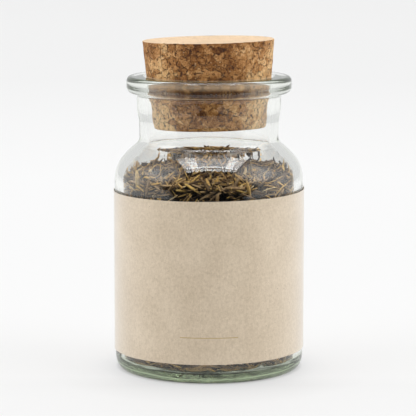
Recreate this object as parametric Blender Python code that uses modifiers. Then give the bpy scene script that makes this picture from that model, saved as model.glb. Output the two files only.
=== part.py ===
"""A corked glass spice jar filled with dried thyme.

Four pieces: the glass jar, the cork stopper wedged in its mouth, the paper label wrapped
round its body, and the heap of dried thyme leaves inside. Metres, +Z up, with the origin
at the middle of the ring that the jar stands on and -Y towards the front of the label.
"""

import math
import random

import bmesh
import bpy
from mathutils import Euler, Matrix, Vector

MM = 0.001

# Glass jar, in millimetres
BODY_RADIUS = 30.0
WALL = 2.7
HEEL_RUN = 2.4
HEEL_RISE = 4.2
FOOT_INNER_RADIUS = 25.0
PUSH_UP = 1.5
FLOOR_EDGE_Z = 2.8
FLOOR_CENTRE_Z = 3.5
FLOOR_CORNER_RADIUS = 1.4
SHOULDER_Z = 60.4
NECK_RADIUS = 22.1
NECK_TOP_RADIUS = 22.85
NECK_STEP_Z = 80.0
BORE_RADIUS = 19.35
SEAT_Z = 82.4
SEAT_RADIUS = 18.8
RIM_Z = 93.1
MOUTH_RADIUS = 20.15
BEAD_RADIUS = 26.1
BEAD_TOP_ROUND = 1.5
BEAD_BOTTOM_ROUND = 1.9
BEAD_BOTTOM_Z = 87.8
JAR_SIDES = 48

# Cork stopper, in millimetres
CORK_TOP_RADIUS = 20.85
CORK_MOUTH_RADIUS = 19.85
CORK_BOTTOM_RADIUS = 17.45
CORK_LENGTH = 27.4
CORK_ABOVE_RIM = 11.4
CORK_EDGE = 0.4
CORK_LEAN_DEG = (-0.8, -1.1)

# Paper label, in millimetres
LABEL_GAP = 0.2
LABEL_THICKNESS = 0.25
LABEL_BOTTOM_Z = 6.4
LABEL_HEIGHT = 50.8
LABEL_OPEN_DEG = 15.0
LABEL_SKEW = 0.007
LABEL_SIDES = 54

# Dried thyme, in millimetres
CLEARANCE = 0.3
CORE_RADIUS = 26.0
CORE_TOP_Z = 63.0
CORE_CROWN = 1.2
CORE_SIDES = 34
CORE_ROWS = 9
CORE_ROUGHNESS = 2.2
WALL_LEAF_ROWS = 8
WALL_LEAVES_A_ROW = 13
TOP_LEAVES = 84
LEAF_SIZES = ((11.5, 2.9, 2.0), (10.0, 2.4, 1.9), (13.0, 2.1, 1.8), (9.0, 3.0, 2.0))
GOLDEN_ANGLE = math.pi * (3 - math.sqrt(5))
SEED = 20


def clear_scene():
    """Removes whatever objects the startup file holds."""
    for obj in list(bpy.data.objects):
        bpy.data.objects.remove(obj)


def new_collection(name):
    made = bpy.data.collections.new(name)
    bpy.context.scene.collection.children.link(made)
    return made


def finish(name, colour, roughness, transmission=0.0):
    """A plain Principled material."""
    material = bpy.data.materials.new(name)
    material.use_nodes = True
    shader = material.node_tree.nodes["Principled BSDF"]
    shader.inputs["Base Color"].default_value = (*colour, 1.0)
    shader.inputs["Roughness"].default_value = roughness
    shader.inputs["Transmission Weight"].default_value = transmission
    return material


def add_object(name, mesh, collection, material=None):
    obj = bpy.data.objects.new(name, mesh)
    collection.objects.link(obj)
    if material is not None:
        mesh.materials.append(material)
    return obj


def arc(centre, radius, start_deg, end_deg, steps):
    """Points on an arc in the (r, z) plane, both ends included."""
    turn = (end_deg - start_deg) / steps
    angles = [math.radians(start_deg + turn * i) for i in range(steps + 1)]
    return [
        (centre[0] + radius * math.cos(a), centre[1] + radius * math.sin(a))
        for a in angles
    ]


def shoulder(body_radius, neck_radius, start_z, first, second, fillet):
    """Outline from the upright body wall up to the upright neck wall.

    It has two arcs that turn inwards, a straight slope, and a fillet that turns upright
    again. first and second are (radius, angle reached in degrees) of the two arcs.
    """
    radius, reached = first
    centre = (body_radius - radius, start_z)
    points = arc(centre, radius, 0, reached, 3)
    way = Vector((math.cos(math.radians(reached)), math.sin(math.radians(reached))))
    wider, slope = second
    centre = Vector(points[-1]) - wider * way
    points += arc(centre, wider, reached, slope, 2)[1:]
    slope_rad = math.radians(slope)
    outwards = Vector((math.cos(slope_rad), math.sin(slope_rad)))
    drop_in_fillet = fillet * (1 - outwards.x)
    run = (points[-1][0] - neck_radius - drop_in_fillet) / outwards.y
    foot = Vector(points[-1]) + run * Vector((-outwards.y, outwards.x))
    centre = foot + fillet * outwards
    return points + arc(centre, fillet, 180 + slope, 180, 3)


def floor_z(radius):
    """Height of the jar's inner floor, which rises a little to its middle."""
    share = min(radius / (BODY_RADIUS - WALL - FLOOR_CORNER_RADIUS), 1.0)
    return FLOOR_CENTRE_Z + (FLOOR_EDGE_Z - FLOOR_CENTRE_Z) * share**2


def inner_outline():
    """The jar's inside from the middle of its floor up to the mouth."""
    inside = BODY_RADIUS - WALL
    corner_r = inside - FLOOR_CORNER_RADIUS
    floor = [(r, floor_z(r)) for r in (0.0, corner_r / 2)]
    corner_centre = (corner_r, FLOOR_EDGE_Z + FLOOR_CORNER_RADIUS)
    corner = arc(corner_centre, FLOOR_CORNER_RADIUS, -90, 0, 3)
    slope = shoulder(inside, BORE_RADIUS, SHOULDER_Z - 0.4, (9.0, 36), (18.0, 50), 5.0)
    lip = MOUTH_RADIUS + 0.9
    seat = [(BORE_RADIUS, SEAT_Z - 2.2), (SEAT_RADIUS, SEAT_Z)]
    return floor + corner + slope + seat + arc((lip, RIM_Z - 0.9), 0.9, 180, 90, 2)


def bead_outline():
    """The rolled rim, from its top land round to the neck below it."""
    top_centre = (BEAD_RADIUS - BEAD_TOP_ROUND, RIM_Z - BEAD_TOP_ROUND)
    bottom_centre = (BEAD_RADIUS - BEAD_BOTTOM_ROUND, BEAD_BOTTOM_Z + BEAD_BOTTOM_ROUND)
    top = arc(top_centre, BEAD_TOP_ROUND, 90, 0, 4)
    bottom = arc(bottom_centre, BEAD_BOTTOM_ROUND, 0, -80, 3)
    return top + bottom + [(NECK_TOP_RADIUS + 0.5, BEAD_BOTTOM_Z - 0.1)]


def outer_outline():
    """The jar's outside from the rim down to the middle of its foot."""
    neck = [
        (NECK_TOP_RADIUS, BEAD_BOTTOM_Z - 0.7),
        (NECK_TOP_RADIUS - 0.1, NECK_STEP_Z + 2.5),
        (NECK_RADIUS + 0.1, NECK_STEP_Z - 0.8),
    ]
    slope = shoulder(
        BODY_RADIUS, NECK_RADIUS, SHOULDER_Z, (11.0, 36), (20.0, 50), 3.0
    )
    heel = [
        (BODY_RADIUS - HEEL_RUN * (1 - across), HEEL_RISE * (1 + up))
        for across, up in arc((0.0, 0.0), 1.0, 0, -90, 4)
    ]
    foot = [
        (FOOT_INNER_RADIUS, 0.0),
        (FOOT_INNER_RADIUS - 1.2, PUSH_UP / 3),
        (FOOT_INNER_RADIUS / 2, PUSH_UP * 0.85),
        (0.0, PUSH_UP),
    ]
    return neck + slope[::-1] + heel + foot


def turned(name, outline, sides, collection, material):
    """A solid turned about Z from an (r, z) outline in millimetres."""
    mesh = bpy.data.meshes.new(name)
    corners = [(r * MM, 0.0, z * MM) for r, z in outline]
    mesh.from_pydata(corners, [(i, i + 1) for i in range(len(corners) - 1)], [])
    obj = add_object(name, mesh, collection, material)
    screw = obj.modifiers.new("Turn", "SCREW")
    screw.steps = screw.render_steps = sides
    screw.use_merge_vertices = True
    screw.merge_threshold = 0.00001
    screw.use_smooth_shade = True
    return obj


def glass_jar(collection):
    outline = inner_outline() + bead_outline() + outer_outline()
    glass = finish("clear_glass", (0.93, 0.97, 0.93), 0.02, transmission=1.0)
    return turned("glass_jar", outline, JAR_SIDES, collection, glass)


def cork_stopper(collection):
    """A cork that tapers more below the rim. It leans about the middle of the rim's plane."""
    high, low = CORK_ABOVE_RIM, CORK_ABOVE_RIM - CORK_LENGTH
    outline = [
        (0.0, high),
        (CORK_TOP_RADIUS - CORK_EDGE, high),
        (CORK_TOP_RADIUS, high - CORK_EDGE),
        (CORK_MOUTH_RADIUS, 0.0),
        (CORK_BOTTOM_RADIUS, low + CORK_EDGE),
        (CORK_BOTTOM_RADIUS - CORK_EDGE, low),
        (0.0, low),
    ]
    cork = finish("cork", (0.55, 0.36, 0.20), 0.85)
    obj = turned("cork_stopper", outline, JAR_SIDES, collection, cork)
    obj.location.z = RIM_Z * MM
    lean_x, lean_y = (math.radians(a) for a in CORK_LEAN_DEG)
    obj.rotation_euler = (lean_x, lean_y, 0)
    return obj


def paper_label(collection):
    """A strip wrapped round the body at a slight skew, open in a narrow slit behind."""
    radius = (BODY_RADIUS + LABEL_GAP) * MM
    wrap = 2 * math.pi - math.radians(LABEL_OPEN_DEG)
    rise = LABEL_SKEW * radius * wrap
    low = LABEL_BOTTOM_Z * MM - rise / 2
    mesh = bpy.data.meshes.new("paper_label")
    mesh.from_pydata([(radius, 0, low), (radius, 0, low + LABEL_HEIGHT * MM)], [(0, 1)], [])
    paper = finish("label_paper", (0.72, 0.63, 0.50), 0.8)
    obj = add_object("paper_label", mesh, collection, paper)
    half_slit = math.radians(LABEL_OPEN_DEG) / 2
    obj.rotation_euler.z = math.pi / 2 + half_slit
    screw = obj.modifiers.new("Wrap", "SCREW")
    screw.angle = wrap
    screw.screw_offset = rise
    screw.steps = screw.render_steps = LABEL_SIDES
    skin = obj.modifiers.new("Thickness", "SOLIDIFY")
    skin.thickness = LABEL_THICKNESS * MM
    skin.offset = -1.0
    skin.use_even_offset = True
    return obj


def thyme_core(collection, material):
    """The packed middle of the heap, rough all over, which the outer leaves stand out of."""
    corner = CORE_RADIUS - 1.5
    lift = CLEARANCE + CORE_ROUGHNESS / 4
    bottom = [(r, floor_z(r) + lift) for r in (corner, corner / 2, 0.0)]
    crown = [
        (CORE_RADIUS * s, CORE_TOP_Z + CORE_CROWN * (1 - s * s))
        for s in (0, 0.2, 0.45, 0.7, 0.9)
    ]
    high, low = CORE_TOP_Z - 1.5, bottom[0][1] + 1.5
    side = [
        (CORE_RADIUS, high + (low - high) * i / CORE_ROWS) for i in range(CORE_ROWS + 1)
    ]
    outline = crown + side + bottom
    core = turned("dried_thyme", outline, CORE_SIDES, collection, material)
    crumbs = bpy.data.textures.new("crumbs", "CLOUDS")
    crumbs.noise_scale = 4.0 * MM
    rough = core.modifiers.new("Crumbled surface", "DISPLACE")
    rough.texture = crumbs
    rough.strength = CORE_ROUGHNESS * MM
    rough.mid_level = 0.6
    return core


def leaf_mesh(name, size, bow):
    """A dried leaf, rolled into a slim spindle along X and bowed by bow at its ends."""
    length, width, thickness = (d * MM for d in size)
    bm = bmesh.new()
    bmesh.ops.create_uvsphere(bm, u_segments=4, v_segments=2, radius=0.5)
    bmesh.ops.rotate(bm, verts=bm.verts, matrix=Matrix.Rotation(math.pi / 2, 3, "Y"))
    for v in bm.verts:
        v.co = Vector((v.co.x * length, v.co.y * width, v.co.z * thickness))
        v.co.z -= bow * MM * (2 * v.co.x / length) ** 2
    mesh = bpy.data.meshes.new(name)
    bm.to_mesh(mesh)
    bm.free()
    return mesh


def wall_leaf_poses(draw):
    """Leaves that lie against the glass, in staggered rows up the heap's side."""
    low, high = FLOOR_EDGE_Z + 4.5, CORE_TOP_Z - 3.5
    for row in range(WALL_LEAF_ROWS):
        height = low + (high - low) * row / (WALL_LEAF_ROWS - 1)
        for n in range(WALL_LEAVES_A_ROW):
            jitter = draw.uniform(-0.25, 0.25)
            around = 2 * math.pi * (n + 0.5 * (row % 2) + jitter) / WALL_LEAVES_A_ROW
            place = Vector((CORE_RADIUS, 0, height + draw.uniform(-1.2, 1.2)))
            slant = draw.choice((-1, 1)) * math.radians(draw.uniform(8, 42))
            stand = Matrix.Rotation(math.pi / 2, 4, "Z") @ Matrix.Rotation(
                math.pi / 2, 4, "X"
            )
            lie = Matrix.Rotation(slant, 4, "X")
            turn = Matrix.Rotation(around, 4, "Z")
            yield turn @ Matrix.Translation(place * MM) @ lie @ stand


def top_leaf_poses(draw):
    """Leaves strewn over the top of the heap, evenly by the golden angle."""
    reach = CORE_RADIUS - 1.6
    for n in range(TOP_LEAVES):
        share = math.sqrt((n + 0.5) / TOP_LEAVES)
        around = n * GOLDEN_ANGLE
        height = CORE_TOP_Z + CORE_CROWN * (1 - share * share) + draw.uniform(-0.3, 0.3)
        spread = math.pi * (1 - share**3)
        heading = around + math.pi / 2 + draw.uniform(-0.5, 0.5) * max(spread, 0.3)
        tilt = math.radians(draw.uniform(4, 22)) * (1 - 0.8 * share**4)
        place = Vector((math.cos(around), math.sin(around), 0)) * reach * share
        place.z = height - 0.8 * share**6
        turn = Euler((draw.uniform(-0.6, 0.6), -tilt, heading)).to_matrix().to_4x4()
        yield Matrix.Translation(place * MM) @ turn


def dried_thyme(collection):
    """The heap: a core with the leaves that show, joined into one solid."""
    material = finish("dried_thyme", (0.24, 0.20, 0.11), 0.9)
    core = thyme_core(collection, material)
    leaves = new_collection("thyme_leaves")
    draw = random.Random(SEED)
    meshes = [leaf_mesh(f"leaf_{i}", size, 0.45) for i, size in enumerate(LEAF_SIZES)]
    poses = list(wall_leaf_poses(draw)) + list(top_leaf_poses(draw))
    for n, pose in enumerate(poses):
        leaf = add_object(f"leaf_{n}", draw.choice(meshes), leaves)
        leaf.matrix_world = pose
    union = core.modifiers.new("Join leaves", "BOOLEAN")
    union.operation = "UNION"
    union.operand_type = "COLLECTION"
    union.collection = leaves
    union.solver = "MANIFOLD"
    bpy.context.view_layer.update()
    graph = bpy.context.evaluated_depsgraph_get()
    joined = bpy.data.meshes.new_from_object(core.evaluated_get(graph))
    core.modifiers.clear()
    core.data = joined
    for leaf in list(leaves.objects):
        bpy.data.objects.remove(leaf)
    bpy.data.collections.remove(leaves)
    return core


def main():
    clear_scene()
    jar = new_collection("corked_thyme_jar")
    glass_jar(jar)
    cork_stopper(jar)
    paper_label(jar)
    dried_thyme(jar)


main()
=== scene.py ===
"""A corked glass spice jar of dried thyme on a pale studio floor."""

import math
import random

import bmesh
import bpy
import numpy as np
from mathutils import Matrix, Quaternion, Vector, noise


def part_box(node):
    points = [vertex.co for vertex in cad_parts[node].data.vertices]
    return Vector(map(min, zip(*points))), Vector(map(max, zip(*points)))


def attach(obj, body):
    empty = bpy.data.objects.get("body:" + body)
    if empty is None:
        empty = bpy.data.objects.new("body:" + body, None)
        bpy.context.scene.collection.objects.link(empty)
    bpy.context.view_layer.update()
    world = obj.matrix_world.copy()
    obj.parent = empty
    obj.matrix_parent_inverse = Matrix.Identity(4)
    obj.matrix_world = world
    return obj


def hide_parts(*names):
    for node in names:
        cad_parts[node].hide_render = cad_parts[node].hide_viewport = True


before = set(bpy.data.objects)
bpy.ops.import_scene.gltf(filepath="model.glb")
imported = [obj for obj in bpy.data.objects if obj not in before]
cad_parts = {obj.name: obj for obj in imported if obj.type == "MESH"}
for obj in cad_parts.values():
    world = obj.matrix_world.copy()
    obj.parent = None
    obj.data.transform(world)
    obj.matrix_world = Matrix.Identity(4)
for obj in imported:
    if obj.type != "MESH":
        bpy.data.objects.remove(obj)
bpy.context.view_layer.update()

MM = 0.001
TAU = 2 * math.pi

bpy.context.scene.view_settings.view_transform = "Standard"
# Enough bounces for light to cross the many glass surfaces of the base and shoulder.
bpy.context.scene.cycles.glossy_bounces = 24
bpy.context.scene.cycles.transmission_bounces = 24
bpy.context.scene.cycles.max_bounces = 32


# Materials


class Shader:
    """A short way to write a material's nodes."""

    def __init__(self, name):
        self.material = bpy.data.materials.new(name)
        self.material.use_nodes = True
        self.tree = self.material.node_tree
        self.surface = self.tree.nodes["Principled BSDF"]
        self.output = self.tree.nodes["Material Output"]

    def node(self, kind, inputs=None, **settings):
        made = self.tree.nodes.new("ShaderNode" + kind)
        for key, value in settings.items():
            setattr(made, key, value)
        for key, value in (inputs or {}).items():
            self.feed(made.inputs[key], value)
        return made

    def feed(self, socket, value):
        if isinstance(value, bpy.types.NodeSocket):
            self.tree.links.new(value, socket)
        else:
            socket.default_value = value

    def set(self, **values):
        for key, value in values.items():
            self.feed(self.surface.inputs[key.replace("_", " ")], value)

    def coords(self, stretch=(1, 1, 1)):
        """Object coordinates in millimetres, stretched along each axis."""
        where = self.node("TexCoord").outputs["Object"]
        scale = tuple(1000.0 * s for s in stretch)
        return self.node("Mapping", {"Vector": where, "Scale": scale}).outputs[0]

    def noise(self, where, scale, detail=2.0, rough=0.5, distort=0.0):
        inputs = {
            "Vector": where,
            "Scale": scale,
            "Detail": detail,
            "Roughness": rough,
            "Distortion": distort,
        }
        return self.node("TexNoise", inputs).outputs["Fac"]

    def math(self, kind, a, b=0.0, clamp=False):
        made = self.node("Math", {0: a, 1: b}, operation=kind)
        made.use_clamp = clamp
        return made.outputs[0]

    def step(self, value, low, high, start=0.0, end=1.0):
        inputs = {
            "Value": value,
            "From Min": low,
            "From Max": high,
            "To Min": start,
            "To Max": end,
        }
        return self.node("MapRange", inputs).outputs[0]

    def ramp(self, value, stops):
        made = self.node("ValToRGB", {"Fac": value})
        while len(made.color_ramp.elements) < len(stops):
            made.color_ramp.elements.new(0.5)
        for element, (place, colour) in zip(made.color_ramp.elements, stops):
            element.position = place
            element.color = (*colour, 1.0)
        return made.outputs["Color"]

    def mix(self, share, a, b):
        made = self.node("Mix", data_type="RGBA")
        for i, value in ((0, share), (6, a), (7, b)):
            if isinstance(value, tuple) and len(value) == 3:
                value = (*value, 1.0)
            self.feed(made.inputs[i], value)
        return made.outputs[2]

    def bump(self, height, distance, strength):
        inputs = {"Height": height, "Distance": distance, "Strength": strength}
        return self.node("Bump", inputs).outputs[0]

    def split(self, vector):
        """A vector's X, Y and Z."""
        return self.node("SeparateXYZ", {"Vector": vector}).outputs

    def facing(self):
        """The surface's normal, as X, Y and Z."""
        return self.split(self.node("NewGeometry").outputs["Normal"])


def glass_material():
    """Clear glass, greener in its thick foot, that lets light straight through onto the fill."""
    s = Shader("clear_glass")
    height = s.split(s.coords())["Z"]
    foot = s.step(height, 3.5, 6.0, 1.0, 0.0)
    s.set(
        Base_Color=s.mix(foot, (1.0, 1.0, 1.0), (0.64, 0.71, 0.58)),
        Roughness=0.0,
        IOR=1.5,
        Transmission_Weight=1.0,
    )
    tint = {"Color": (0.72, 0.785, 0.64, 1.0), "Density": 24.0}
    volume = s.node("VolumeAbsorption", tint)
    s.tree.links.new(volume.outputs[0], s.output.inputs["Volume"])
    rays = s.node("LightPath").outputs
    clear = s.node("BsdfTransparent", {"Color": (0.93, 0.945, 0.93, 1.0)}).outputs[0]
    lit = s.surface.outputs[0]
    for kind in ("Is Shadow Ray", "Is Diffuse Ray"):
        lit = s.node("MixShader", {0: rays[kind], 1: lit, 2: clear}).outputs[0]
    s.tree.links.new(lit, s.output.inputs["Surface"])
    return s.material


def cork_material():
    s = Shader("cork")
    where = s.coords()

    # Granules: warped cells, each with its own tone
    drift = s.node("TexNoise", {"Vector": where, "Scale": 0.35, "Detail": 2.0}).outputs["Color"]
    drift = s.node("VectorMath", {0: drift, 1: (-0.5, -0.5, -0.5)}, operation="ADD").outputs[0]
    drift = s.node("VectorMath", {0: drift, "Scale": 2.0}, operation="SCALE").outputs[0]
    warped = s.node("VectorMath", {0: where, 1: drift}, operation="ADD").outputs[0]
    grains = {"Vector": warped, "Scale": 0.34, "Randomness": 1.0}
    cells = s.node("TexVoronoi", grains)
    edges = s.node("TexVoronoi", grains, feature="DISTANCE_TO_EDGE").outputs["Distance"]
    pick = s.node("SeparateColor", {"Color": cells.outputs["Color"]}).outputs
    fine = s.noise(where, 2.2, 5.0, 0.7)
    grain = s.noise(where, 0.85, 4.0, 0.6)
    moved = s.node("Mapping", {"Vector": where, "Location": (7.0, 2.0, 0.0)}).outputs[0]
    broad = s.noise(moved, 0.10, 2.0)
    tone = s.math("ADD", s.math("MULTIPLY", pick[0], 0.20), s.math("MULTIPLY", fine, 0.55))
    tone = s.math("ADD", tone, s.math("MULTIPLY", grain, 0.45))
    tone = s.math("ADD", tone, s.step(broad, 0.3, 0.7, -0.20, 0.02))

    # Painted shade darkens the middle of the front and painted light brightens the sides, the
    # right side most; the cork is also paler low in the neck, most at the sides
    apart = s.split(where)
    behind = s.step(apart["Y"], -12.0, 0.0, 0.0, 16.0)
    aside = s.math("ADD", s.math("ABSOLUTE", apart["X"]), behind)
    tone = s.math("ADD", tone, s.step(aside, 4.0, 15.0, -0.10, 0.05))
    tone = s.math("ADD", tone, s.step(apart["X"], 6.0, 16.0, 0.0, 0.04))
    below = s.step(apart["Z"], 87.0, 85.5)
    tone = s.math("ADD", tone, s.math("MULTIPLY", below, s.step(aside, 3.0, 12.0, 0.02, 0.09)))
    colour = s.ramp(
        tone,
        (
            (0.26, (0.095, 0.028, 0.005)),
            (0.42, (0.285, 0.112, 0.027)),
            (0.56, (0.540, 0.262, 0.088)),
            (0.74, (0.850, 0.550, 0.265)),
        ),
    )

    # Dark seams, flecks and holes, with a few pale specks
    across = s.noise(s.coords((0.55, 0.55, 2.0)), 0.8, 3.0, 0.6, 0.1)
    upright = s.noise(s.coords((1.8, 1.8, 0.6)), 0.8, 3.0, 0.6, 0.1)
    turned = s.step(pick[1], 0.45, 0.55)
    lines = s.node("Mix", {0: turned, 2: across, 3: upright}).outputs[0]
    flecks = s.step(lines, 0.60, 0.65)
    gate = s.step(s.noise(where, 0.5, 3.0, 0.6), 0.47, 0.55)
    seam = s.math("MULTIPLY", s.step(edges, 0.01, 0.06, 1.0, 0.0), gate)
    holes = s.step(s.noise(where, 1.15, 3.0, 0.6), 0.60, 0.64)
    dark = s.math("MAXIMUM", s.math("MULTIPLY", seam, 0.8), s.math("MULTIPLY", flecks, 0.75))
    dark = s.math("MAXIMUM", dark, s.math("MULTIPLY", holes, 0.9), clamp=True)
    colour = s.mix(dark, colour, (0.040, 0.014, 0.006))
    pale = s.step(s.noise(where, 1.3, 2.0, 0.5), 0.66, 0.74)
    colour = s.mix(s.math("MULTIPLY", pale, 0.6), colour, (0.78, 0.52, 0.28))

    # Inside the bead: painted shade where little light gets through the bead, and painted light
    # above it, where light falls in through the rim's top
    low_end = s.step(apart["Z"], 86.8, 88.6)
    painted_bead_shade = s.math("MULTIPLY", low_end, s.step(apart["Z"], 91.0, 89.4))
    colour = s.mix(s.math("MULTIPLY", painted_bead_shade, 0.66), colour, (0.060, 0.020, 0.004))
    painted_bead_light = s.math("MULTIPLY", s.step(apart["Z"], 89.8, 91.2), s.step(apart["Z"], 93.4, 92.6))
    colour = s.mix(s.math("MULTIPLY", painted_bead_light, 0.6), colour, (0.80, 0.58, 0.40))

    # The top is paler: partly its sanded cut, partly painted light from above
    face = s.step(s.facing()["Z"], 0.5, 0.85, 0.0, 0.86)
    colour = s.mix(face, colour, (0.83, 0.62, 0.41))
    height = s.math("SUBTRACT", s.math("MULTIPLY", fine, 0.5), dark)
    s.set(
        Base_Color=colour,
        Roughness=0.75,
        Specular_IOR_Level=0.3,
        Normal=s.bump(height, 0.0004, 0.8),
    )
    return s.material


def paper_material():
    s = Shader("label_paper")
    where = s.coords()
    cloud = s.noise(where, 0.10, 3.0)
    mottle = s.noise(where, 1.1, 5.0, 0.8)
    fibre = s.noise(s.coords((1.0, 1.0, 0.3)), 2.6, 4.0, 0.7)
    tone = s.math("ADD", s.math("MULTIPLY", cloud, 0.22), s.math("MULTIPLY", mottle, 0.53))
    tone = s.math("ADD", tone, s.math("MULTIPLY", fibre, 0.25))
    colour = s.ramp(tone, ((0.38, (0.590, 0.467, 0.320)), (0.62, (0.815, 0.680, 0.512))))
    flecks = s.step(s.noise(where, 1.1, 2.0, 0.5), 0.715, 0.75)
    hairs = s.step(s.noise(s.coords((0.7, 0.7, 2.4)), 0.75, 1.0, 0.5, 1.5), 0.735, 0.76)
    colour = s.mix(s.math("MULTIPLY", flecks, 0.55), colour, (0.30, 0.20, 0.11))
    colour = s.mix(s.math("MULTIPLY", hairs, 0.35), colour, (0.36, 0.26, 0.15))

    # One thin gold rule, low on the front
    place = s.split(where)
    width = s.step(s.math("ABSOLUTE", place["X"]), 8.9, 9.0, 1.0, 0.0)
    height = s.math("ABSOLUTE", s.math("SUBTRACT", place["Z"], 14.8))
    rule = s.math("MULTIPLY", width, s.step(height, 0.10, 0.16, 1.0, 0.0))
    rule = s.math("MULTIPLY", rule, s.step(place["Y"], -1.0, 1.0, 0.9, 0.0))
    colour = s.mix(rule, colour, (0.52, 0.36, 0.13))
    s.set(
        Base_Color=colour,
        Roughness=0.5,
        Specular_IOR_Level=0.5,
        Sheen_Weight=1.0,
        Sheen_Roughness=0.5,
        Normal=s.bump(tone, 0.00012, 0.5),
    )
    return s.material


def leaf_material():
    """Each leaf has its own tone. UV X is its depth in the heap, which paints shade on deep
    leaves, and UV Y runs round the leaf.
    """
    s = Shader("dried_thyme")
    own = s.node("NewGeometry").outputs["Random Per Island"]
    held = s.split(s.node("TexCoord").outputs["UV"])
    where = s.coords()
    grain = s.noise(where, 1.8, 3.0, 0.6)
    colour = s.ramp(
        own,
        (
            (0.0, (0.045, 0.022, 0.010)),
            (0.16, (0.160, 0.090, 0.042)),
            (0.34, (0.420, 0.255, 0.125)),
            (0.48, (0.340, 0.225, 0.125)),
            (0.64, (0.680, 0.430, 0.215)),
            (0.80, (0.900, 0.540, 0.170)),
            (0.92, (0.960, 0.610, 0.190)),
            (1.0, (0.940, 0.730, 0.470)),
        ),
    )
    # Painted shade of a groove: a dark line along each leaf's seam, and the grain adds a darker
    # mottle
    ridge = s.math("PINGPONG", held["Y"], 0.5)
    groove = s.step(ridge, 0.0, 0.10, 0.7, 0.0)
    shade = s.math("ADD", groove, s.step(grain, 0.35, 0.65, 0.0, 0.35), clamp=True)
    colour = s.mix(shade, colour, (0.030, 0.018, 0.008))
    # Painted shade on the undersides of leaves, weaker low in the jar
    under = s.step(s.facing()["Z"], -0.7, 0.30, 0.85, 0.0)
    raised = s.split(where)["Z"]
    under = s.math("MULTIPLY", under, s.step(raised, 9.0, 30.0, 0.15, 1.0))
    colour = s.mix(under, colour, (0.010, 0.006, 0.003))
    # Painted shade: leaves deeper in the heap, by UV X, go near black
    colour = s.mix(s.step(held["X"], 0.10, 0.44, 0.0, 0.97), colour, (0.004, 0.002, 0.001))
    s.set(
        Base_Color=colour,
        Roughness=0.55,
        Specular_IOR_Level=0.15,
        Normal=s.bump(grain, 0.0002, 0.5),
    )
    return s.material


def core_material():
    s = Shader("thyme_core")
    tone = s.noise(s.coords(), 0.9, 4.0, 0.65)
    # Near black: painted shade for the hidden middle of the heap, seen in the gaps between leaves
    colour = s.ramp(tone, ((0.4, (0.003, 0.002, 0.001)), (0.75, (0.022, 0.014, 0.006))))
    s.set(
        Base_Color=colour,
        Roughness=0.9,
        Specular_IOR_Level=0.1,
        Normal=s.bump(tone, 0.0006, 1.0),
    )
    return s.material


def floor_material():
    """A pale floor that glows evenly, with a painted shadow under the jar's foot, a faint painted
    shadow in front of it, and a painted fall-off of light far away.
    """
    s = Shader("studio_floor")
    away = s.node("VectorMath", {0: s.coords()}, operation="LENGTH").outputs["Value"]
    ahead = s.split(s.coords())["Y"]
    glow = s.step(away, 25.5, 30.0, 0.03, 0.56)
    near = s.step(away, 31.0, 55.0, 0.085, 0.02)
    shade = s.math("MULTIPLY", near, s.step(ahead, -30.0, -18.0, 1.0, 0.0))
    glow = s.math("SUBTRACT", glow, shade)
    glow = s.math("ADD", glow, s.step(away, 450.0, 1000.0, 0.0, -0.06))
    s.set(
        Base_Color=(0.29, 0.29, 0.29, 1.0),
        Roughness=0.6,
        Specular_IOR_Level=0.1,
        Emission_Color=(1.0, 1.0, 1.0, 1.0),
        Emission_Strength=glow,
    )
    return s.material


# Shapes that several pieces are made from


def put_in_scene(name, data):
    obj = bpy.data.objects.new(name, data)
    bpy.context.scene.collection.objects.link(obj)
    return obj


def new_object(name, mesh, material, node=None, ride=True):
    obj = put_in_scene(name, mesh)
    mesh.materials.append(material)
    if ride:
        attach(obj, "root")
    if node:
        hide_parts(node)
    return obj


def smooth(mesh):
    mesh.polygons.foreach_set("use_smooth", [True] * len(mesh.polygons))
    mesh.update()


def around(r, angle, z):
    """The point at a radius and an angle about Z."""
    return (r * math.cos(angle), r * math.sin(angle), z)


def in_metres(point):
    return tuple(value * MM for value in point)


def arc(centre, radius, start_deg, end_deg, steps):
    """Points along an arc, both ends included."""
    turn = (end_deg - start_deg) / steps
    angles = [math.radians(start_deg + turn * i) for i in range(steps + 1)]
    return [
        (centre[0] + radius * math.cos(a), centre[1] + radius * math.sin(a))
        for a in angles
    ]


def lathe(name, outline, sides, shift):
    """A closed solid turned about Z from an (r, z) outline in mm that ends on the axis.

    shift(r, z, angle) gives a new (r, z) for each vertex off the axis.
    """
    vertices, faces, rings = [], [], []
    for r, z in outline:
        if r < 1e-6:
            rings.append([len(vertices)])
            vertices.append(in_metres((0.0, 0.0, z)))
            continue
        ring = []
        for k in range(sides):
            a = TAU * k / sides
            moved_r, moved_z = shift(r, z, a)
            ring.append(len(vertices))
            vertices.append(in_metres(around(moved_r, a, moved_z)))
        rings.append(ring)
    for upper, lower in zip(rings, rings[1:]):
        for k in range(sides):
            n = (k + 1) % sides
            if len(upper) == 1:
                faces.append((upper[0], lower[k], lower[n]))
            elif len(lower) == 1:
                faces.append((upper[k], lower[0], upper[n]))
            else:
                faces.append((upper[k], lower[k], lower[n], upper[n]))
    mesh = bpy.data.meshes.new(name)
    mesh.from_pydata(vertices, [], faces)
    smooth(mesh)
    return mesh


# Glass jar, in millimetres, as wide and as high as in the frame

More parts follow.
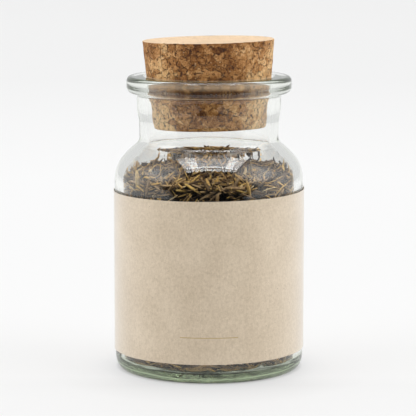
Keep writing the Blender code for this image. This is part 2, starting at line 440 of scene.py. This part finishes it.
BODY_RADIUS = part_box("glass_jar")[1].x / MM
WALL = 2.7
BORE_RADIUS = 19.35
NECK_RADIUS = 22.1
NECK_TOP_RADIUS = 22.85
RIM_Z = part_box("glass_jar")[1].z / MM
MOUTH_RADIUS = 20.15
BEAD_RADIUS = 26.1
BEAD_TOP_ROUND = 1.5
BEAD_BOTTOM_ROUND = 1.9
BEAD_BOTTOM_Z = 87.8
FLOOR_EDGE_Z = 2.8
FLOOR_CENTRE_Z = 3.5
CORNER = 1.4
HEEL_RUN = 2.4
HEEL_RISE = 4.2
FOOT_INNER = 25.0
FOOT_DOME_RISE = 1.08
FOOT_LIP_RISE = 0.42
FOOT_LIP_RUN = 2.2
INNER_SHOULDER_Z = 60.0
OUTER_SHOULDER_Z = 60.4
TAPER_Z = 80.2
LIP_ROUND = 0.9
INSIDE = BODY_RADIUS - WALL
# Two arcs, each with its radius and the angle where it ends, then the fillet into the neck
INNER_SHOULDER = ((9.0, 36), (18.0, 50), 5.0)
OUTER_SHOULDER = ((11.0, 36), (20.0, 50), 3.0)
SHOULDER_STEPS = (12, 8, 12)


def shoulder(body, neck, start_z, first, second, fillet):
    """The outline from the upright body up to the upright neck."""
    steps = SHOULDER_STEPS
    radius, reached = first
    points = arc((body - radius, start_z), radius, 0, reached, steps[0])
    way = Vector((math.cos(math.radians(reached)), math.sin(math.radians(reached))))
    wider, slope = second
    centre = Vector(points[-1]) - wider * way
    points += arc(centre, wider, reached, slope, steps[1])[1:]
    outwards = Vector((math.cos(math.radians(slope)), math.sin(math.radians(slope))))
    run = (points[-1][0] - neck - fillet * (1 - outwards.x)) / outwards.y
    foot = Vector(points[-1]) + run * Vector((-outwards.y, outwards.x))
    points.append(tuple((Vector(points[-1]) + foot) / 2))
    return points + arc(foot + fillet * outwards, fillet, 180 + slope, 180, steps[2])


def floor_z(radius):
    share = min(radius / (INSIDE - CORNER), 1.0)
    return FLOOR_CENTRE_Z + (FLOOR_EDGE_Z - FLOOR_CENTRE_Z) * share**2


def foot_z(radius):
    """Height of the glass's underside, which is pushed up inside the ring it stands on."""
    lip = min(max((FOOT_INNER - radius) / FOOT_LIP_RUN, 0.0), 1.0)
    dome = max(1 - (radius / FOOT_INNER) ** 2, 0.0)
    return FOOT_LIP_RISE * lip * lip * (3 - 2 * lip) + FOOT_DOME_RISE * dome


def rows(r0, z0, r1, z1, count):
    """Points between two outline points, ends left out."""
    return [
        (r0 + (r1 - r0) * i / count, z0 + (z1 - z0) * i / count) for i in range(1, count)
    ]


def jar_outline():
    """The glass's outline, up the inside from the floor, over the rim and down the outside."""
    radii = [*np.linspace(0.0, 15.0, 10)[:-1], *np.linspace(15.0, INSIDE - CORNER, 44)[:-1]]
    points = [(r, floor_z(r)) for r in radii]
    points += arc((INSIDE - CORNER, FLOOR_EDGE_Z + CORNER), CORNER, -90, 0, 9)
    points += rows(INSIDE, FLOOR_EDGE_Z + CORNER, INSIDE, INNER_SHOULDER_Z, 18)
    points += shoulder(INSIDE, BORE_RADIUS, INNER_SHOULDER_Z, *INNER_SHOULDER)
    points += rows(*points[-1], BORE_RADIUS, TAPER_Z, 5)
    points += rows(BORE_RADIUS, TAPER_Z, MOUTH_RADIUS, RIM_Z - LIP_ROUND, 9)
    points += arc((MOUTH_RADIUS + LIP_ROUND, RIM_Z - LIP_ROUND), LIP_ROUND, 180, 90, 6)

    # The bead, then the neck under it
    high = (BEAD_RADIUS - BEAD_TOP_ROUND, RIM_Z - BEAD_TOP_ROUND)
    low = (BEAD_RADIUS - BEAD_BOTTOM_ROUND, BEAD_BOTTOM_Z + BEAD_BOTTOM_ROUND)
    points += rows(*points[-1], high[0], RIM_Z, 4)
    points += arc(high, BEAD_TOP_ROUND, 90, 0, 10)
    points += rows(*points[-1], BEAD_RADIUS, low[1], 4)
    points += arc(low, BEAD_BOTTOM_ROUND, 0, -80, 10)
    points += [
        (NECK_TOP_RADIUS + 0.55, BEAD_BOTTOM_Z - 0.1),
        (NECK_TOP_RADIUS + 0.15, BEAD_BOTTOM_Z - 0.3),
        (NECK_TOP_RADIUS, BEAD_BOTTOM_Z - 0.8),
    ]
    points += rows(*points[-1], NECK_TOP_RADIUS - 0.1, 82.5, 4)
    points += [
        (NECK_TOP_RADIUS - 0.1, 82.5),
        (NECK_TOP_RADIUS - 0.3, 81.2),
        (NECK_RADIUS + 0.25, 80.0),
        (NECK_RADIUS + 0.1, 79.0),
    ]

    # The outer shoulder, body, heel and foot
    outer = shoulder(BODY_RADIUS, NECK_RADIUS, OUTER_SHOULDER_Z, *OUTER_SHOULDER)[::-1]
    points += rows(*points[-1], *outer[0], 4) + outer
    points += rows(BODY_RADIUS, OUTER_SHOULDER_Z, BODY_RADIUS, HEEL_RISE, 18)
    points += [
        (BODY_RADIUS - HEEL_RUN * (1 - r), HEEL_RISE * (1 + z))
        for r, z in arc((0, 0), 1, 0, -90, 16)
    ]
    points += [(r, foot_z(r)) for r in np.linspace(BODY_RADIUS - HEEL_RUN, 14.0, 56)[1:]]
    points += [(r, foot_z(r)) for r in np.linspace(14.0, 0.0, 9)[1:]]
    return points


def wavy(r, z, angle):
    """The slight waves of moulded glass, and the ripples in its floor and foot."""
    where = Vector(around(r, angle, z * 0.7))
    swell = noise.noise(where * 0.09) * 0.10 + noise.noise(where * 0.25) * 0.03
    calm = min(1.0, max(0.0, z - 0.3) / 3.0) * (1.0 if z < 84 else 0.4)
    if z < 5.0 and r < BODY_RADIUS - 2.0:
        slow = Vector(around(2.4, angle, r * 0.22 + z * 5))
        quick = Vector(around(7.0, angle, r * 0.9 + z * 9))
        phase = TAU * r / 1.5 + 5.0 * noise.noise(slow)
        ring = 0.14 * (1.0 + math.sin(phase)) + 0.14 * abs(noise.noise(quick))
        return r, z + ring * min(1.0, (BODY_RADIUS - 2.0 - r) / 0.6)
    return r + swell * calm - 0.05 * calm, z


def make_jar():
    mesh = lathe("glass_jar_clear", jar_outline(), 144, wavy)
    new_object("glass_jar_clear", mesh, glass_material(), "glass_jar")


# Cork, in millimetres

CORK_TOP_RADIUS = 20.85
CORK_MOUTH_RADIUS = 19.85
CORK_BOTTOM_RADIUS = 17.45
CORK_LENGTH = 27.4
CORK_ABOVE_RIM = 11.4
CORK_EDGE = 0.35
CORK_LEAN_DEG = (-0.8, -1.1)


def make_cork():
    """The cork is made with the rim's height as zero, then leant and lifted into the mouth."""
    low, high = CORK_ABOVE_RIM - CORK_LENGTH, CORK_ABOVE_RIM

    def radius_at(z):
        radii = (CORK_BOTTOM_RADIUS, CORK_MOUTH_RADIUS, CORK_TOP_RADIUS)
        return float(np.interp(z, (low, 0.0, high), radii))

    edge = CORK_EDGE
    outline = [(r, high) for r in np.linspace(0, CORK_TOP_RADIUS - edge, 22)]
    outline += arc((CORK_TOP_RADIUS - edge, high - edge), edge, 90, 7, 4)[1:]
    outline += [(radius_at(z), z) for z in np.linspace(high - edge, low + edge, 54)[1:]]
    outline += arc((CORK_BOTTOM_RADIUS - edge, low + edge), edge, 0, -90, 4)[1:]
    outline += [(r, low) for r in np.linspace(CORK_BOTTOM_RADIUS - edge, 0, 18)[1:]]

    def pitted(r, z, angle):
        where = Vector(around(r, angle, z))
        rough = noise.noise(where * 0.9) * 0.08 + noise.noise(where * 0.35) * 0.06
        pit = max(0.0, noise.noise(where * 0.75 + Vector((9, 4, 2))) - 0.38) * 1.6
        give = rough - min(pit, 0.5) - 0.08
        if z > high - 0.01 or z < low + 0.01:
            return r, z + give * (0.7 if z > 0 else -0.7)
        return r + give, z

    mesh = lathe("cork", outline, 180, pitted)
    place = Matrix.Translation((0, 0, RIM_Z * MM))
    lean_x, lean_y = (math.radians(a) for a in CORK_LEAN_DEG)
    lean = Matrix.Rotation(lean_y, 4, "Y") @ Matrix.Rotation(lean_x, 4, "X")
    mesh.transform(place @ lean)
    new_object("cork", mesh, cork_material(), "cork_stopper")


# Label, in millimetres, from its lowest corner in the frame to its highest

LABEL_LOW_Z, LABEL_HIGH_Z = (corner.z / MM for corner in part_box("paper_label"))
LABEL_INNER_RADIUS = BODY_RADIUS + 0.06
LABEL_OUTER_RADIUS = BODY_RADIUS + 0.2
LABEL_OPEN_DEG = 15.0
LABEL_SKEW = 0.007
LABEL_COLUMNS = 220
LABEL_ROWS = 44


def label_point(u, v, radius):
    """A point of the paper: u runs round the jar from the open gap, and v up the label."""
    half_gap = math.radians(LABEL_OPEN_DEG / 2)
    wrap = TAU - 2 * half_gap
    rise = LABEL_SKEW * LABEL_OUTER_RADIUS * wrap
    height = LABEL_HIGH_Z - LABEL_LOW_Z - rise
    angle = math.pi / 2 + half_gap + wrap * u
    z = LABEL_LOW_Z + rise * u + height * v
    where = Vector(around(3, angle, z * 0.1))
    radius += 0.05 * (noise.noise(where * 1.3) + 1)
    # The paper lifts slightly along its top and bottom edges
    if v in (0, 1):
        radius += 0.05 * (noise.noise(where * 3.1) + 1)
    return in_metres(around(radius, angle, z))


def make_label():
    vertices, faces = [], []
    for radius in (LABEL_OUTER_RADIUS, LABEL_INNER_RADIUS):
        for j in range(LABEL_ROWS + 1):
            for i in range(LABEL_COLUMNS + 1):
                vertices.append(label_point(i / LABEL_COLUMNS, j / LABEL_ROWS, radius))

    def at(i, j, side):
        return (side * (LABEL_ROWS + 1) + j) * (LABEL_COLUMNS + 1) + i

    for j in range(LABEL_ROWS):
        for i in range(LABEL_COLUMNS):
            faces.append((at(i, j, 0), at(i + 1, j, 0), at(i + 1, j + 1, 0), at(i, j + 1, 0)))
            faces.append((at(i, j, 1), at(i, j + 1, 1), at(i + 1, j + 1, 1), at(i + 1, j, 1)))
    for i in range(LABEL_COLUMNS):
        top = LABEL_ROWS
        faces.append((at(i, 0, 1), at(i + 1, 0, 1), at(i + 1, 0, 0), at(i, 0, 0)))
        faces.append((at(i, top, 0), at(i + 1, top, 0), at(i + 1, top, 1), at(i, top, 1)))
    for j in range(LABEL_ROWS):
        end = LABEL_COLUMNS
        faces.append((at(0, j, 0), at(0, j + 1, 0), at(0, j + 1, 1), at(0, j, 1)))
        faces.append((at(end, j, 1), at(end, j + 1, 1), at(end, j + 1, 0), at(end, j, 0)))
    mesh = bpy.data.meshes.new("label")
    mesh.from_pydata(vertices, [], faces)
    smooth(mesh)
    mesh.set_sharp_from_angle(angle=math.radians(50))
    new_object("label", mesh, paper_material(), "paper_label")


# Dried thyme, in millimetres

HEAP_TOP = 62.8
HEAP_SLOPE = 0.075
TOP_LAYER = 3.2
DARK_DEPTH = 3.2
CORE_TOP = HEAP_TOP - 3.0
CORE_BOTTOM = 5.1
CORE_RADIUS = 24.3
CORE_ROUND = 1.5
CORE_SLOPE = 0.055
LEAF_CLEARANCE = 0.12
SEED = 7

TOP_LEAVES = 1200  # the heap's surface
BACK_LEAVES = 200  # raised, at the back of the surface
WALL_LEAVES = 800  # against the glass, above the label
FOOT_LEAVES = 1000  # against the glass, low in the jar
FLOOR_LEAVES = 800  # on the floor
GAP_LEAVES = 400  # behind the label's open gap


def inner_profile():
    """The inside of the glass from the floor's corner to the neck, as (r, z) points."""
    points = jar_outline()
    edge = next(i for i, p in enumerate(points) if p[0] > INSIDE - CORNER - 0.01)
    top = next(i for i, p in enumerate(points) if p[1] > 78)
    return np.array(points[edge:top])


INNER_PROFILE = inner_profile()


def inner_radius(z):
    """Inside radius of the jar at a height."""
    return float(np.interp(z, INNER_PROFILE[:, 1], INNER_PROFILE[:, 0]))


def leaf_shape(draw, kind, length, width):
    """Vertices, faces and UV of one leaf or stem along X, in millimetres.

    Both are closed tubes of rings. A leaf is pointed and has a groove, and a stem tapers.
    """
    rings = 5 if kind == "leaf" else 4
    sides = 6 if kind == "leaf" else 5
    bow = draw.uniform(-0.035, 0.035) * length
    side_bow = draw.uniform(-0.03, 0.03) * length
    twist = draw.uniform(-0.5, 0.5)
    plump = draw.uniform(0.30, 0.55)
    thick = width * draw.uniform(0.55, 0.9)
    vertices, uvs = [], []
    for i in range(rings):
        t = i / (rings - 1)
        t = t - 0.08 * math.sin(TAU * t)
        x = (t - 0.5) * length
        if kind == "leaf":
            girth = max(0.2, math.sin(math.pi * (0.03 + 0.94 * t)) ** plump)
        else:
            girth = 1.0 - 0.25 * t
        lift = bow * (1 - (2 * t - 1) ** 2)
        drift = side_bow * (1 - (2 * t - 1) ** 2)
        turn = twist * (t - 0.5)
        for k in range(sides):
            a = TAU * k / sides + turn
            y, z = math.cos(a) * width / 2 * girth, math.sin(a) * thick / 2 * girth
            if kind == "leaf" and k == (3 * sides) // 4:
                z += thick * 0.3 * girth
            vertices.append((x, y + drift, z + lift))
            uvs.append((0.0, k / sides))
    faces = []
    for i in range(rings - 1):
        for k in range(sides):
            n = (k + 1) % sides
            faces.append(
                (i * sides + k, (i + 1) * sides + k, (i + 1) * sides + n, i * sides + n)
            )
    faces.append(tuple(range(sides)))
    faces.append(tuple((rings - 1) * sides + k for k in reversed(range(sides))))
    return np.array(vertices), faces, np.array(uvs)


class Heap:
    """Collects many leaves into one mesh."""

    def __init__(self):
        self.vertices, self.faces, self.uvs = [], [], []
        self.count = 0

    def add(self, vertices, faces, uvs):
        self.vertices.append(vertices)
        self.faces += [tuple(self.count + i for i in face) for face in faces]
        self.uvs.append(uvs)
        self.count += len(vertices)

    def mesh(self, name):
        made = bpy.data.meshes.new(name)
        vertices = np.concatenate(self.vertices) * MM
        made.from_pydata(vertices.tolist(), [], self.faces)
        uvs = np.concatenate(self.uvs)
        layer = made.uv_layers.new(name="UVMap")
        index = np.empty(len(made.loops), dtype=np.int32)
        made.loops.foreach_get("vertex_index", index)
        layer.data.foreach_set("uv", uvs[index].astype(np.float32).ravel())
        smooth(made)
        return made


def settle(points):
    """Moves a leaf inwards and up until it clears the glass."""
    slack = LEAF_CLEARANCE
    for _ in range(6):
        radii = np.hypot(points[:, 0], points[:, 1])
        limits = np.array([inner_radius(max(z, 3.0)) for z in points[:, 2]]) - slack
        over = radii - limits
        worst = int(over.argmax())
        if over[worst] <= 0:
            break
        inward = -points[worst, :2] / max(radii[worst], 1e-6)
        points[:, :2] += inward * (over[worst] + 0.05)
    floors = np.array([floor_z(r) for r in np.hypot(points[:, 0], points[:, 1])])
    low = float((points[:, 2] - floors).min())
    if low < slack:
        points[:, 2] += slack - low
    return points


def darkening(x, y, z):
    """How much a leaf's depth paints shade on it: less low in the jar, at its sides and at its
    back.
    """
    if z < 12.0:
        return 0.3
    share = 1.0 - 0.6 * min(max((abs(x) - 9.0) / 12.0, 0.0), 1.0)
    if z > 55.0 and y > 4.0:
        share *= 0.4
    return share


def place_leaf(heap, draw, centre, heading, tilt_deg, size):
    """Adds a leaf to a heap, rolled at random about its own length."""
    roll = draw.uniform(0, TAU)
    vertices, faces, uvs = leaf_shape(draw, *size)
    turn = (
        Quaternion((0, 0, 1), heading)
        @ Quaternion((0, 1, 0), -math.radians(tilt_deg))
        @ Quaternion((1, 0, 0), roll)
    )
    points = settle(vertices @ np.array(turn.to_matrix()).T + np.array(centre))
    share = darkening(*centre)
    # UV X carries the leaf's painted depth shade
    uvs[:, 0] = np.clip([buried(*p) * share / DARK_DEPTH for p in points], 0.0, 1.0)
    heap.add(points, faces, uvs)


def leaf_size(draw):
    """Kind, length and width: a stem, a plump leaf or a slim leaf."""
    if draw.random() < 0.10:
        return "stem", draw.uniform(5, 9), draw.uniform(0.4, 0.6)
    if draw.random() < 0.32:
        return "leaf", draw.uniform(5.4, 7.4), draw.uniform(1.1, 1.4)
    return "leaf", draw.uniform(4.0, 7.0), draw.uniform(0.65, 1.0)


def heap_top(x, y):
    """Height of the heap's surface."""
    where = Vector((x, y, 3.0))
    uneven = noise.noise(where * 0.09) * 1.6 + noise.noise(where * 0.25) * 0.7
    return HEAP_TOP + HEAP_SLOPE * y + uneven


def buried(x, y, z):
    """How far a point is from the nearest outside of the heap: its top, wall or floor."""
    r = math.hypot(x, y)
    return min(heap_top(x, y) - z, inner_radius(max(z, 4.5)) - r, z - floor_z(r))


def along_wall(draw, angle, spread):
    """A heading that runs roughly along the wall."""
    return angle + math.pi / 2 + draw.gauss(0, spread)


def top_leaves(draw):
    heap = Heap()
    for _ in range(TOP_LEAVES):
        r = math.sqrt(draw.random()) * 26.3
        a = draw.uniform(0, TAU)
        x, y = r * math.cos(a), r * math.sin(a)
        z = heap_top(x, y) - TOP_LAYER * draw.random() ** 1.5
        size = leaf_size(draw)
        tilt = draw.gauss(0, 30)
        heading = draw.uniform(0, TAU)
        if r > 22:
            heading = along_wall(draw, a, 0.8)
        place_leaf(heap, draw, (x, y, z), heading, tilt, size)
    for _ in range(BACK_LEAVES):
        r = draw.uniform(17.0, 26.0)
        a = math.pi / 2 + draw.uniform(-1.1, 1.1)
        x, y = r * math.cos(a), r * math.sin(a)
        z = heap_top(x, y) + draw.uniform(-0.9, 0.5)
        size = leaf_size(draw)
        tilt = draw.gauss(0, 18)
        place_leaf(heap, draw, (x, y, z), along_wall(draw, a, 0.9), tilt, size)
    return heap


def wall_leaves(draw):
    heap = Heap()
    for _ in range(WALL_LEAVES):
        a = draw.uniform(0, TAU)
        z = draw.uniform(53.5, HEAP_TOP - 0.8 + 1.5 * math.sin(a))
        r = INSIDE - 0.3 - 2.8 * draw.random() ** 1.3
        size = leaf_size(draw)
        heading = along_wall(draw, a, 0.5)
        tilt = draw.choice((-1, 1)) * abs(draw.gauss(10, 38))
        place_leaf(heap, draw, around(r, a, z), heading, tilt, size)
    return heap


def low_leaves(draw):
    heap = Heap()
    for _ in range(FOOT_LEAVES):
        a = draw.uniform(0, TAU)
        z = draw.uniform(3.8, 9.5)
        r = INSIDE - 0.4 - draw.uniform(0.1, 2.4)
        size = leaf_size(draw)
        heading = along_wall(draw, a, 0.2)
        tilt = draw.gauss(0, 22)
        place_leaf(heap, draw, around(r, a, z), heading, tilt, size)
    for _ in range(FLOOR_LEAVES):
        r = math.sqrt(draw.random()) * 25.5
        a = draw.uniform(0, TAU)
        z = floor_z(r) + draw.uniform(0.4, 2.4)
        size = leaf_size(draw)
        tilt = draw.gauss(0, 8)
        place_leaf(heap, draw, around(r, a, z), draw.uniform(0, TAU), tilt, size)
    for _ in range(GAP_LEAVES):
        a = math.pi / 2 + draw.uniform(-0.24, 0.24)
        z = draw.uniform(8.0, 55.0)
        r = INSIDE - 0.4 - draw.uniform(0.1, 2.6)
        size = leaf_size(draw)
        heading = along_wall(draw, a, 0.2)
        tilt = draw.choice((-1, 1)) * abs(draw.gauss(8, 34))
        place_leaf(heap, draw, around(r, a, z), heading, tilt, size)
    return heap


def core_outline():
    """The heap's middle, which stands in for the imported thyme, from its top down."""
    flat = CORE_RADIUS - CORE_ROUND
    outline = [(r, CORE_TOP) for r in np.linspace(0, flat, 14)]
    outline += arc((flat, CORE_TOP - CORE_ROUND), CORE_ROUND, 80, 0, 4)
    high, low = CORE_TOP - CORE_ROUND, CORE_BOTTOM + CORE_ROUND
    outline += rows(CORE_RADIUS, high, CORE_RADIUS, low, 24)
    outline += arc((flat, low), CORE_ROUND, 0, -90, 4)
    outline += [(r, CORE_BOTTOM) for r in np.linspace(flat, 0, 12)[1:]]
    return outline


def crumbled(r, z, angle):
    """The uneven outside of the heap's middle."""
    where = Vector(around(r, angle, z))
    give = noise.noise(where * 0.5) * 0.6 + noise.noise(where * 1.1) * 0.3
    slope = CORE_SLOPE * where.y if z > 50 else 0.0
    return r + give * min(1, r / 5), z + give * 0.6 + slope


def make_thyme():
    draw = random.Random(SEED)
    heaps = (
        ("thyme_top", top_leaves(draw)),
        ("thyme_side", wall_leaves(draw)),
        ("thyme_low", low_leaves(draw)),
    )
    leaves = leaf_material()
    core = lathe("thyme_core", core_outline(), 120, crumbled)
    new_object("thyme_core", core, core_material(), "dried_thyme")
    for name, heap in heaps:
        piece = new_object(name, heap.mesh(name), leaves)


# Studio, in metres

FLOOR_RADIUS = 7.0
DOME_HEIGHT = 2.6
DOME_SIZE = 5.0
DOME_WATTS = 70.0
BOX_HEIGHT = 0.9
CARD_HALF_WIDTH = 0.5
CARD_Y = -0.3
CARD_BOTTOM_Z = 0.003
CARD_TOP_Z = 0.10
LENS_MM = 197.08
CAMERA_PLACE = (-0.00032, -0.7171, 0.1585)
CAMERA_DIP_DEG = 8.54

# Sky terms, added up: an axis, the two shares of it between which the light changes, and the
# strength at each of them. They are the wall behind, the ceiling, and four lobes at the sides.
SKY = (
    ((0, 1, 0), -0.35, 0.30, 0.06, 0.72),
    ((0, 0, 1), 0.75, 1.0, 0.0, 0.35),
    ((-0.75, -0.24, 0.61), 0.88, 0.97, 0.0, 1.5),
    ((0.75, -0.24, 0.61), 0.88, 0.97, 0.0, 1.8),
    ((-0.96, -0.10, 0.20), 0.78, 0.95, 0.0, 0.82),
    ((0.96, -0.10, 0.20), 0.78, 0.95, 0.0, 0.85),
)

# Softboxes, which show in the glass and don't light matt surfaces: name, centre, size, and glow
SOFTBOXES = (
    ("softbox", (0.04, -0.14), (0.40, 0.35), 3.0),
    ("softbox_front", (0.04, -0.345), (0.80, 0.06), 11.0),
    ("softbox_left", (-0.215, -0.14), (0.11, 0.35), 7.5),
    ("softbox_left_edge", (-0.32, -0.14), (0.10, 0.35), 4.0),
    ("softbox_right", (0.295, -0.14), (0.11, 0.35), 7.5),
    ("softbox_right_edge", (0.40, -0.14), (0.10, 0.35), 4.0),
    ("softbox_back", (0.04, 0.35), (0.5, 0.62), 1.8),
)


def area_light(name, place, size, power):
    """A rectangular light that shines straight down."""
    data = bpy.data.lights.new(name, "AREA")
    data.shape = "RECTANGLE"
    data.size, data.size_y = size
    data.energy = power
    light = put_in_scene(name, data)
    light.location = place
    return light


def make_floor():
    mesh = bpy.data.meshes.new("studio_floor")
    bm = bmesh.new()
    bmesh.ops.create_circle(bm, cap_ends=True, segments=96, radius=FLOOR_RADIUS)
    bm.to_mesh(mesh)
    bm.free()
    floor = new_object("studio_floor", mesh, floor_material(), ride=False)


def make_sky():
    world = bpy.data.worlds.new("studio")
    bpy.context.scene.world = world
    world.use_nodes = True
    tree = world.node_tree
    background = tree.nodes["Background"]
    way = tree.nodes.new("ShaderNodeTexCoord").outputs["Generated"]
    total = None
    for axis, *values in SKY:
        dot = tree.nodes.new("ShaderNodeVectorMath")
        dot.operation = "DOT_PRODUCT"
        dot.inputs[1].default_value = axis
        tree.links.new(way, dot.inputs[0])
        span = tree.nodes.new("ShaderNodeMapRange")
        span.interpolation_type = "SMOOTHSTEP"
        for key, value in zip(("From Min", "From Max", "To Min", "To Max"), values):
            span.inputs[key].default_value = value
        tree.links.new(dot.outputs["Value"], span.inputs["Value"])
        if total is None:
            total = span.outputs[0]
        else:
            both = tree.nodes.new("ShaderNodeMath")
            tree.links.new(total, both.inputs[0])
            tree.links.new(span.outputs[0], both.inputs[1])
            total = both.outputs[0]
    tree.links.new(total, background.inputs["Strength"])
    background.inputs["Color"].default_value = (0.995, 1.0, 1.0, 1.0)


def make_lights():
    dome = area_light("overhead_light", (0, 0, DOME_HEIGHT), (DOME_SIZE, DOME_SIZE), DOME_WATTS)
    dome.visible_glossy = dome.visible_transmission = False
    for name, (x, y), size, glow in SOFTBOXES:
        power = glow * math.pi * size[0] * size[1]
        box = area_light(name, (x, y, BOX_HEIGHT), size, power)
        box.visible_diffuse = False


def make_card():
    """A black card in front of the jar, seen only in glass and in reflections."""
    corners = (
        (-CARD_HALF_WIDTH, CARD_Y, CARD_BOTTOM_Z),
        (CARD_HALF_WIDTH, CARD_Y, CARD_BOTTOM_Z),
        (CARD_HALF_WIDTH, CARD_Y, CARD_TOP_Z),
        (-CARD_HALF_WIDTH, CARD_Y, CARD_TOP_Z),
    )
    mesh = bpy.data.meshes.new("dark_card")
    mesh.from_pydata(corners, [], [(0, 1, 2, 3)])
    black = Shader("dark_card")
    black.set(Base_Color=(0.01, 0.01, 0.01, 1.0), Roughness=0.9)
    card = new_object("dark_card", mesh, black.material, ride=False)
    card.visible_camera = card.visible_diffuse = card.visible_shadow = False


def make_camera():
    data = bpy.data.cameras.new("camera")
    data.lens = LENS_MM
    data.sensor_width = 36.0
    data.clip_start = 0.05
    data.clip_end = 50.0
    camera = put_in_scene("camera", data)
    camera.location = CAMERA_PLACE
    camera.rotation_euler = (math.radians(90 - CAMERA_DIP_DEG), 0, 0)
    bpy.context.scene.camera = camera


make_jar()
make_cork()
make_label()
make_thyme()
make_floor()
make_sky()
make_lights()
make_card()
make_camera()
